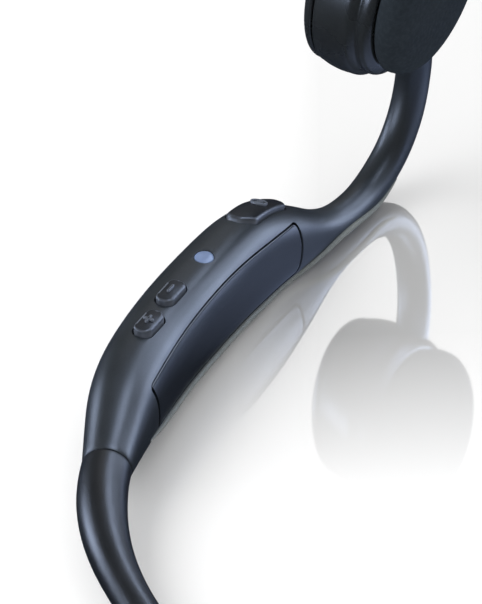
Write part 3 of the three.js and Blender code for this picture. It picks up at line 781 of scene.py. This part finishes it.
KEY_GAP = 0.2
KEY_LIP = 0.16
KEY_CORNER = 1.1
MULTI_SLOPE = math.radians(25)
MULTI_SIZE = (11.4, 4.6)
MULTI_X = X_AXIS * math.cos(MULTI_SLOPE) - Z_AXIS * math.sin(MULTI_SLOPE)
MULTI_Z = X_AXIS * math.sin(MULTI_SLOPE) + Z_AXIS * math.cos(MULTI_SLOPE)


def crowned(points, rim, crown):
    """Heights of a soft crown: highest in the middle of the rim and nothing at its sides."""
    reach = np.abs(rim).max(axis=0)
    return crown * np.prod(1 - (points / reach) ** 2, axis=1)


def cap_levels(outline, top, edge, crown, steps, shares):
    """Outlines and heights of a cap: its rolled edge, then its softly crowned top."""
    normals = outline_normals(outline)
    levels = []
    for k in range(steps + 1):
        angle = math.pi / 2 * k / steps
        rolled = outline - normals * edge * (1 - math.cos(angle))
        levels.append((rolled, top - edge + edge * math.sin(angle)))
    for share in shares:
        levels.append((rolled * share, top + crowned(rolled * share, rolled, crown)))
    return levels


def key_rings(outline, origin, foot, top, edge, crown):
    """Rings of a level button cap with straight sides."""
    levels = [(outline, foot)] + cap_levels(outline, top, edge, crown, 5, (0.85, 0.65, 0.45, 0.25, 0.08))
    heights = [np.broadcast_to(height, len(points)) for points, height in levels]
    return [stand(points, origin, LEVEL) + np.outer(h, Z_AXIS) for (points, _), h in zip(levels, heights)]


def surface_cap(name, outline, origin, axes, up, thickness, edge, crown, proud=0.0):
    """A plug whose top follows the arm's surface, with a soft edge and a slight crown."""
    shares = (0.93, 0.8, 0.65, 0.5, 0.35, 0.2, 0.06)
    rings = []
    for points, height in cap_levels(outline, 0, edge, crown, 4, shares):
        flat = stand(points, origin, axes)
        level = np.array([(on_arm(p, -up) - origin) @ up for p in flat])
        if not rings:
            foot = min(level.max() + proud - thickness, level.min() - 0.5)
            rings.append(flat + foot * up)
        rings.append(flat + np.outer(level + proud + height, up))
    return loft(name, rings)


def raised_bar(origin, axes, up, length, width, base, height, turn=0.0):
    """A small raised stroke with a rolled edge, lying on a button."""
    outline = rounded_rectangle(length, width, width * 0.45, 0.05)
    across, along = math.cos(turn), math.sin(turn)
    outline = np.column_stack(
        [outline[:, 0] * across - outline[:, 1] * along, outline[:, 0] * along + outline[:, 1] * across]
    )
    normals = outline_normals(outline)
    edge = min(0.1, width / 3)
    levels = [(0, base), (0, height - edge), (-edge * 0.4, height - edge * 0.2), (-edge, height)]
    rings = [stand(outline + normals * o, origin, axes) + up * z for o, z in levels]
    return loft("bar", rings)


def key_outline(node):
    low, high = node_box(node)
    length, width, _ = high - low
    return rounded_rectangle(length, width, KEY_CORNER)


def volume_key(node, turns):
    """A volume button; its sign is a stroke for each turn."""
    low, high = node_box(node)
    origin = node_middle_at(node, high[2])
    foot = low[2] - high[2]
    rings = key_rings(key_outline(node), origin, foot, top=-0.12, edge=0.42, crown=0.12)
    key = loft(node.replace("button", "cap"), rings)
    for turn in turns:
        join(key, raised_bar(origin, LEVEL, Z_AXIS, 1.7, 0.42, -0.4, 0.3, turn))
    finish_piece(smooth_shade(key), "button_plastic", node, node)


def key_opening(node):
    origin = node_middle_at(node, MODULE_TOP)
    return lip_cutter(key_outline(node), origin, LEVEL, -Z_AXIS, KEY_GAP, KEY_LIP, depth=2.6)


MULTI_ORIGIN = ARM_ORIGIN + np.array([-11.9, 3.9, 14.2])


def multi_outline():
    """The large button: a long rounded plate, cut back at its rear corner on the head side."""
    length, width = MULTI_SIZE
    x, y = length / 2, width / 2
    corners = [(-x + 1.6, -y), (x - 0.6, -y), (x, -y + 0.9), (x, y - 0.9), (x - 0.9, y), (-x + 0.9, y),
               (-x, y - 0.9), (-x, -y + 1.9)]
    return closed_outline(corners, 0.12, 14)


MULTI_AXES = (MULTI_X, Y_AXIS)
MULTI_PROUD = 0.7
ICON_SHIFT = 0.6  # how far the icon sits ahead of the button's middle
ICON_FOOT, ICON_TOP = -0.5, 0.27
# Radius and height round the icon's ring, which is a circle with rolled edges.
ICON_RING = [
    (1.3, ICON_FOOT), (1.3, 0.2), (1.22, ICON_TOP), (1.06, ICON_TOP), (0.98, 0.2), (0.98, ICON_FOOT),
]


def multi_key():
    """The large button on the front shoulder: it follows the arm's surface and has a plain icon."""
    key = surface_cap("multi_function_cap", multi_outline(), MULTI_ORIGIN, MULTI_AXES, MULTI_Z,
                      thickness=2.6, edge=0.4, crown=0.08, proud=MULTI_PROUD)
    icon = MULTI_ORIGIN + MULTI_X * ICON_SHIFT
    top = (on_arm(icon, -MULTI_Z) - MULTI_ORIGIN) @ MULTI_Z + MULTI_PROUD
    circle = [oval(icon + MULTI_Z * (top + z), *MULTI_AXES, out, out, 2, 40) for out, z in ICON_RING]
    join(key, closed_band("ring", circle))
    for shift in (-0.35, 0.35):
        place = icon + MULTI_X * shift
        base, height = top + ICON_FOOT, top + ICON_TOP
        join(key, raised_bar(place, MULTI_AXES, MULTI_Z, 1.0, 0.32, base, height, math.pi / 2))
    finish_piece(smooth_shade(key), "button_plastic", "multi_function_button", "multi_function_button")


def multi_opening():
    return lip_cutter(multi_outline(), MULTI_ORIGIN, MULTI_AXES, -MULTI_Z, KEY_GAP, KEY_LIP, depth=3.2)


LIGHT_LOW, LIGHT_HIGH = node_box("light_window")
LIGHT_RADIUS = (LIGHT_HIGH[1] - LIGHT_LOW[1]) / 2
LIGHT_ORIGIN = node_middle_at("light_window", MODULE_TOP)


def circle_outline(radius, count=64):
    angle = np.linspace(0, 2 * math.pi, count, endpoint=False)
    return np.column_stack([np.cos(angle), np.sin(angle)]) * radius


def light_opening():
    outline = circle_outline(LIGHT_RADIUS)
    return lip_cutter(outline, LIGHT_ORIGIN, LEVEL, -Z_AXIS, gap=0.08, lip=0.08, depth=3.0)


def light_window():
    window = surface_cap("light_lens", circle_outline(LIGHT_RADIUS), LIGHT_ORIGIN, LEVEL, Z_AXIS,
                         thickness=2.0, edge=0.12, crown=0.1)
    finish_piece(smooth_shade(window), "window", "right_arm", "light_window")


# ---- speaker pods

CONTACT = MOUNTS["right_contact_face"]
POD_AXIS = np.array(CONTACT["axis"])
POD_SIDE = np.cross(POD_AXIS, Z_AXIS)
POD_SIDE /= np.linalg.norm(POD_SIDE)
POD_UP = np.cross(POD_SIDE, POD_AXIS)
PAD_DOME = 1.0
POD_FACE = np.array(CONTACT["pos_m"]) / MM - POD_AXIS * PAD_DOME

# Profiles: distance outwards from the contact face, half width, half height, drop.
# A shallow valley runs round the casing, 6.7 mm out.
HOUSING_PROFILE = [
    (4.2, 11.9, 12.6, 0.95),
    (4.35, 12.3, 13.1, 1.0),
    (4.8, 12.55, 13.55, 1.25),
    (5.4, 12.7, 13.95, 1.6),
    (6.1, 12.65, 14.05, 1.85),
    (6.7, 12.4, 13.85, 2.0),
    (7.3, 12.6, 14.2, 2.15),
    (8.2, 12.85, 14.6, 2.4),
    (9.4, 12.75, 14.65, 2.65),
    (10.9, 12.55, 14.6, 2.95),
    (12.6, 12.2, 14.35, 3.2),
    (13.7, 11.9, 14.0, 3.35),
    (14.15, 11.75, 13.85, 3.4),
    (14.3, 11.5, 13.6, 3.4),
]
CAP_PROFILE = [
    (14.6, 11.3, 13.4, 3.4),
    (14.7, 11.55, 13.65, 3.4),
    (15.0, 11.65, 13.75, 3.4),
    (15.6, 11.4, 13.5, 3.45),
    (16.2, 10.7, 12.8, 3.5),
    (16.55, 9.7, 11.8, 3.5),
    (16.72, 8.2, 10.3, 3.5),
    (16.8, 5.5, 7.0, 3.5),
    (16.82, 2.5, 3.3, 3.5),
    (16.83, 0.3, 0.4, 3.5),
]
PAD_PROFILE = [
    (-1.0, 0.3, 0.3, 0.2),
    (-1.0, 3.6, 3.6, 0.2),
    (-0.97, 6.4, 6.4, 0.2),
    (-0.75, 8.9, 8.9, 0.22),
    (-0.3, 10.9, 10.9, 0.27),
    (0.4, 12.2, 12.2, 0.33),
    (1.3, 12.85, 12.9, 0.43),
    (2.3, 12.95, 13.1, 0.57),
    (3.2, 12.75, 13.1, 0.72),
    (3.75, 12.3, 12.75, 0.8),
    (3.95, 11.8, 12.2, 0.8),
]
PAD_RECESS = [(3.95, 10.8, 10.8, 0.5), (1.6, 10.8, 10.8, 0)]  # in the pad's back, over the transducer
POD_WALL = 1.2


def pod_ring(row, inset=0.0, count=RING):
    out, half_width, half_height, drop = row
    centre = POD_FACE - POD_AXIS * out - POD_UP * drop
    return oval(centre, POD_SIDE, POD_UP, half_width - inset, half_height - inset, 2, count)


def smooth_profile(profile, per_row=5):
    rows = np.array(profile, float)
    at = np.linspace(0, len(rows) - 1, (len(rows) - 1) * per_row + 1)
    return np.array([catmull_rom(rows, a) for a in at])


def pod_rings(profile):
    return [pod_ring(row) for row in smooth_profile(profile)]


def pod_pieces(arm):
    inside = [pod_ring(row, POD_WALL) for row in reversed(HOUSING_PROFILE)]
    housing = closed_band(arm + "_pod_casing", pod_rings(HOUSING_PROFILE) + inside)
    finish_on_arm(housing, arm, "gloss_shell", "pod_housing")
    cap = loft(arm + "_pod_end", pod_rings(CAP_PROFILE))
    finish_on_arm(cap, arm, "gloss_shell", "pod_cap")
    recess = [pod_ring(row) for row in PAD_RECESS]
    pad = loft(arm + "_soft_pad", pod_rings(PAD_PROFILE) + recess)
    finish_on_arm(pad, arm, "pad_silicone", "contact_pad")


# ---- neckband

BAND_TURN = math.radians(70)  # from the rear middle to the seam
CORNER_TURN = math.radians(30)  # of which this much is in the tighter bend by the seam
CORNER_RADIUS = 40
BAND_RADIUS_END = 3.5
BAND_RADIUS_REAR = 2.6
BAND_FADE = (5, 29)  # distances from the seam between which the band thins
SEAM_GAP = 0.12  # between the jacket and each module
BAND_BORE = 1.6
CORD_RADIUS = 0.5  # of the wire and the cable
CORD_REACH = 5  # how far both go on into the modules
WIRE_OUTWARD = 0.65
CABLE_OUTWARD = -0.6
SEAM = PATH[0]
REAR_TURN = BAND_TURN - CORNER_TURN
CORNER_Y = CORNER_RADIUS * (math.sin(BAND_TURN) - math.sin(REAR_TURN))
REAR_RADIUS = (SEAM[1] - CORNER_Y) / math.sin(REAR_TURN)
REAR_LENGTH = REAR_RADIUS * REAR_TURN
HALF_BAND = REAR_LENGTH + CORNER_RADIUS * CORNER_TURN


def band_place(along):
    """Distance forward and across, direction's turn and height; along counts from the rear middle."""
    reach = abs(along)
    first = min(reach, REAR_LENGTH) / REAR_RADIUS
    turn = first + max(0, reach - REAR_LENGTH) / CORNER_RADIUS
    forward = REAR_RADIUS * (1 - math.cos(first)) + CORNER_RADIUS * (math.cos(first) - math.cos(turn))
    across = REAR_RADIUS * math.sin(first) + CORNER_RADIUS * (math.sin(turn) - math.sin(first))
    rise = (SEAM[2] - BAND_RADIUS_REAR) * (1 - math.cos(math.pi * reach / HALF_BAND)) / 2
    height = BAND_RADIUS_REAR + rise
    sign = 1 if along > 0 else -1
    return forward, sign * across, sign * turn, height


BAND_REAR_X = SEAM[0] - band_place(HALF_BAND)[0]


def band_radius(along):
    near, far = BAND_FADE
    share = min(max((HALF_BAND - abs(along) - near) / (far - near), 0), 1)
    fade = share * share * (3 - 2 * share)
    return BAND_RADIUS_END + (BAND_RADIUS_REAR - BAND_RADIUS_END) * fade


def band_ring(along, radius, outward=0.0, count=72):
    forward, across, turn, height = band_place(along)
    side = np.array([-math.cos(turn), math.sin(turn), 0])
    centre = np.array([BAND_REAR_X + forward, across, height]) + side * outward
    return oval(centre, side, Z_AXIS, radius, radius, 2, count)


def band_rings(reach, radius_at, outward=0.0, count=72, steps=260, roll=0.0):
    """Rings of a cord along the neckband, past its seams by reach; roll softens the edge at both ends."""
    end = HALF_BAND + reach
    quarter = np.linspace(0, math.pi / 2, 5)[:-1] if roll else []
    rolled = [(end - roll * (1 - math.cos(a)), roll * (1 - math.sin(a))) for a in quarter]
    plain = [(along, 0.0) for along in np.linspace(roll - end, end - roll, steps)]
    places = [(-along, inset) for along, inset in rolled] + plain + [(a, i) for a, i in reversed(rolled)]
    return [band_ring(a, radius_at(a) - inset, outward, count) for a, inset in places]


def flex(piece, slot, node):
    """Gives a piece of the neckband its finish, on no single body, and bakes its placement into its mesh.
    """
    finish_piece(piece, slot, None, node)
    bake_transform(piece)


def cord(name, outward, slot, node):
    rings = band_rings(CORD_REACH, lambda along: CORD_RADIUS, outward, count=20, steps=120)
    flex(smooth_shade(loft(name, rings)), slot, node)


def neckband():
    outside = band_rings(-SEAM_GAP, band_radius, roll=0.3)
    bore = band_rings(-SEAM_GAP, lambda along: BAND_BORE, steps=80)
    jacket = closed_band("neckband_sleeve", outside + bore[::-1])
    flex(smooth_shade(jacket), "band_silicone", "neckband_jacket")
    cord("neckband_core", WIRE_OUTWARD, "titanium", "neckband_wire")
    cord("neckband_lead", CABLE_OUTWARD, "cable_rubber", "neckband_cable")


# ---- charging port

# The cover's middle and size, mirrored onto the right arm, where the pieces are made.
PORT_LOW, PORT_HIGH = node_box("port_cover")
PORT_LENGTH, PORT_WIDTH, _ = PORT_HIGH - PORT_LOW
PORT_MIDDLE = (PORT_LOW + PORT_HIGH) / 2 * (X_AXIS - Y_AXIS) + Z_AXIS * MODULE_TOP
PORT_SWING = 0.75  # extra length of the recess at the hinge
HOLE_MIDDLE = PORT_MIDDLE - X_AXIS * 0.4
HOLE_SIZE = (6, 3.2)
PLUG_SIZE = (5.2, 2.4)


def port_recess():
    """Shallow recess for the lid, a little longer at its hinge."""
    outline = rounded_rectangle(PORT_LENGTH + PORT_SWING, PORT_WIDTH, 1.0)
    origin = PORT_MIDDLE + X_AXIS * PORT_SWING / 2
    return lip_cutter(outline, origin, LEVEL, -Z_AXIS, KEY_GAP, lip=0.12, depth=1.0)


def port_hole():
    outline = rounded_rectangle(*HOLE_SIZE, 1.0)
    return loft("hole", [stand(outline, HOLE_MIDDLE + Z_AXIS * z, LEVEL) for z in (-5.6, 1.0)])


def port_lid():
    """The rubber lid, with the plug under it and a ridge to lift it by."""
    outline = rounded_rectangle(PORT_LENGTH, PORT_WIDTH, 0.9)
    lid = surface_cap("port_lid", outline, PORT_MIDDLE, LEVEL, Z_AXIS, thickness=0.85, edge=0.18, crown=0.0)
    plug = rounded_rectangle(*PLUG_SIZE, 0.8)
    normals = outline_normals(plug)
    levels = [(0.35, -1.75), (0, -1.4), (0, -0.5)]
    rings = [stand(plug - normals * inset, HOLE_MIDDLE + Z_AXIS * z, LEVEL) for inset, z in levels]
    combine(lid, loft("plug", rings), "UNION")
    ridge = PORT_MIDDLE - X_AXIS * (PORT_LENGTH / 2 - 1.1)
    join(lid, raised_bar(ridge, LEVEL, Z_AXIS, 1.8, 0.4, -0.6, 0.0, math.pi / 2))
    mirror(lid)
    finish_piece(smooth_shade(lid), "band_silicone", "port_cover", "port_cover")


# ---- camera, floor and light

# Distances and sizes of the camera, the lights and the floor's shading are in metres.
AIM = (Vector(ARM_ORIGIN) + Vector((-9.45, 8.31, -5.87))) * MM  # the camera looks at this point
FORWARD = Vector((0.68467, 0.39619, -0.61177))  # about 38 degrees down
UPWARD = Vector((0.53713, 0.27178, 0.79851))
DISTANCE = 0.55
LENS = 274.4


def make_camera():
    data = bpy.data.cameras.new("camera")
    data.sensor_width = 36
    data.sensor_fit = "HORIZONTAL"
    data.lens = LENS
    data.clip_start, data.clip_end = 0.01, 20
    camera = bpy.data.objects.new("camera", data)
    bpy.context.scene.collection.objects.link(camera)
    back = -FORWARD.normalized()
    right = UPWARD.cross(back).normalized()
    up = back.cross(right)
    turn = Matrix((right, up, back)).transposed().to_4x4()
    camera.matrix_world = Matrix.Translation(AIM + back * DISTANCE) @ turn
    bpy.context.scene.camera = camera


BLUISH = (0.62, 0.74, 1.0)
WHITE = (1.0, 1.0, 1.0)
LIT_POINT = Vector(ARM_ORIGIN + np.array([-30, 0, 10])) * MM  # in the middle of the module


def soft_box(name, direction, distance, width, height, radiance, shown=True):
    """A soft light facing the module from the far end of direction.

    When it is shown it only makes highlights; otherwise it only lights, and has no highlight.
    """
    data = bpy.data.lights.new(name, "AREA")
    data.shape = "RECTANGLE"
    data.size, data.size_y = width, height
    data.energy = radiance * math.pi * width * height
    data.color = BLUISH if shown else WHITE
    light = bpy.data.objects.new(name, data)
    bpy.context.scene.collection.objects.link(light)
    away = Vector(direction).normalized()
    light.location = LIT_POINT + away * distance
    light.rotation_mode = "QUATERNION"
    light.rotation_quaternion = away.to_track_quat("Z", "Y")
    light.visible_diffuse = not shown
    light.visible_glossy = shown


def floor_distance(graph, place, direction):
    """How far a floor point lies from the arm's datum along a level direction, in metres."""
    start = float(ARM_ORIGIN @ np.array(direction)) * MM
    return graph.arithmetic("SUBTRACT", graph.dot(place, direction), start)


def floor_material():
    """Pale floor, polished where the camera's view glances off it in front of the arm.

    The object's own reflections see it instead as a bluish glow, dim close by and bright further off beyond
    the module: painted light for the highlights on the arm.
    """
    graph = new_material("floor")
    graph.nodes.clear()
    output = graph.add("ShaderNodeOutputMaterial")
    path = graph.add("ShaderNodeLightPath")
    geometry = graph.add("ShaderNodeNewGeometry")
    place = geometry.outputs["Position"]
    pale = graph.add("ShaderNodeBsdfDiffuse")
    pale.inputs["Color"].default_value = (0.97, 0.97, 0.97, 1)
    polish = graph.add("ShaderNodeBsdfGlossy")
    polish.inputs["Roughness"].default_value = 0.04
    past_hook = floor_distance(graph, place, (0.468, -0.884, 0))
    nearer = floor_distance(graph, place, (-0.879, -0.477, 0))
    under_hook = graph.remap(past_hook, -0.012, 0.0, 0.06, 0.55)
    fading = graph.remap(nearer, 0.02, 0.055, 1.0, 0.15)
    share = graph.arithmetic("MULTIPLY", under_hook, fading)
    facing = graph.dot(geometry.outputs["Incoming"], -FORWARD)
    glancing = graph.remap(facing, 0.97, 0.99, 0.0, 1.0)
    share = graph.arithmetic("MULTIPLY", share, glancing)
    polished = graph.mix_shader(share, pale.outputs[0], polish.outputs[0])
    beyond = floor_distance(graph, place, (0.76, -0.65, 0))
    back = floor_distance(graph, place, (-0.65, -0.76, 0))
    aside = graph.arithmetic("ABSOLUTE", graph.arithmetic("SUBTRACT", back, 0.023))
    far = graph.remap(beyond, 0.03, 0.12, 0.0, 10.0)
    near = graph.remap(beyond, -0.022, 0.002, 0.0, 0.7)
    glow_band = graph.arithmetic("ADD", near, far)
    glow_band = graph.arithmetic("MULTIPLY", glow_band, graph.remap(aside, 0.018, 0.04, 1.0, 0.0))
    # A bluish glow that only reflections see: painted light for the arm's highlights.
    reflected_glow = graph.add("ShaderNodeEmission")
    reflected_glow.inputs["Color"].default_value = (0.5, 0.63, 1, 1)
    graph.link(graph.arithmetic("ADD", glow_band, 0.06), reflected_glow.inputs["Strength"])
    shown = graph.mix_shader(path.outputs["Is Glossy Ray"], polished, reflected_glow.outputs[0])
    graph.link(shown, output.inputs["Surface"])


def make_floor():
    far = 3000
    corners = [(-far, -far, 0), (far, -far, 0), (far, far, 0), (-far, far, 0)]
    floor = make_mesh("floor", corners, [(0, 1, 2, 3)])
    floor_material()
    set_material(floor, "floor")


ROOM_LIGHT = 0.85
ROOM_DIM = 0.18  # as the object's reflections see it


def make_world():
    """An even pale room. Reflections see it dim, except where the floor mirrors it to the camera."""
    world = bpy.data.worlds.new("studio")
    bpy.context.scene.world = world
    graph = Graph(world)
    path = graph.add("ShaderNodeLightPath")
    coordinate = graph.add("ShaderNodeTexCoord").outputs["Generated"]
    towards = graph.dot(coordinate, (FORWARD.x, FORWARD.y, -FORWARD.z))
    chosen = graph.add("ShaderNodeMix")
    graph.link(path.outputs["Is Glossy Ray"], chosen.inputs["Factor"])
    chosen.inputs["A"].default_value = ROOM_LIGHT
    graph.link(graph.remap(towards, 0.975, 0.99, ROOM_DIM, 1.0), chosen.inputs["B"])
    background = graph.nodes["Background"]
    background.inputs["Color"].default_value = (*WHITE, 1)
    graph.link(chosen.outputs["Result"], background.inputs["Strength"])


# ---- assembly


def build_arms():
    for arm in ("right", "left"):
        shell = arm_shell(arm + "_casing")
        if arm == "right":
            cut(shell, key_opening("volume_down_button"), key_opening("volume_up_button"))
            cut(shell, multi_opening(), light_opening())
        else:
            cut(shell, port_recess(), port_hole())
        finish_on_arm(shell, arm, "satin_shell", "shell")
        finish_on_arm(inner_cover(arm + "_cover_panel"), arm, "cover_plastic", "inner_cover")
        finish_on_arm(dark_gasket(arm + "_seam_seal"), arm, "seal_rubber", "cover_gasket")
        # The pale cord along the lower edge paints in the floor's reflected light.
        finish_on_arm(edge_reflection_cord(arm + "_piping"), arm, "piping_rubber", "edge_piping")
        pod_pieces(arm)


def build_controls():
    volume_key("volume_down_button", (0,))
    volume_key("volume_up_button", (0, math.pi / 2))
    multi_key()
    light_window()
    port_lid()


def dress_cad_nodes():
    """Gives every CAD node the finish of its slot. The nodes that pieces replace are hidden later."""
    for part in frame["record"]["subparts"]:
        set_material(frame["nodes"][part["node"]], part["material_slot"])


dress_cad_nodes()
build_arms()
build_controls()
neckband()
make_camera()
make_floor()
make_world()
soft_box("key", (0.72, -0.64, 0.16), 0.9, 0.4, 0.3, 16)
soft_box("key_top", (0.71, -0.42, 0.52), 0.9, 0.4, 0.4, 9)
soft_box("right", (0.72, -0.02, 0.68), 0.9, 0.22, 0.28, 15)
soft_box("left", (-0.10, 0.96, 0.22), 0.9, 0.26, 0.5, 15)
soft_box("overhead", (0.08, -0.28, 0.95), 0.9, 0.34, 0.34, 22)
soft_box("back", (-0.74, 0.64, 0.12), 0.9, 0.5, 0.3, 14)
soft_box("ceiling", (-0.25, 0.6, 0.76), 1.0, 0.9, 0.9, 2.6, shown=False)
bpy.context.scene.view_settings.view_transform = "Standard"
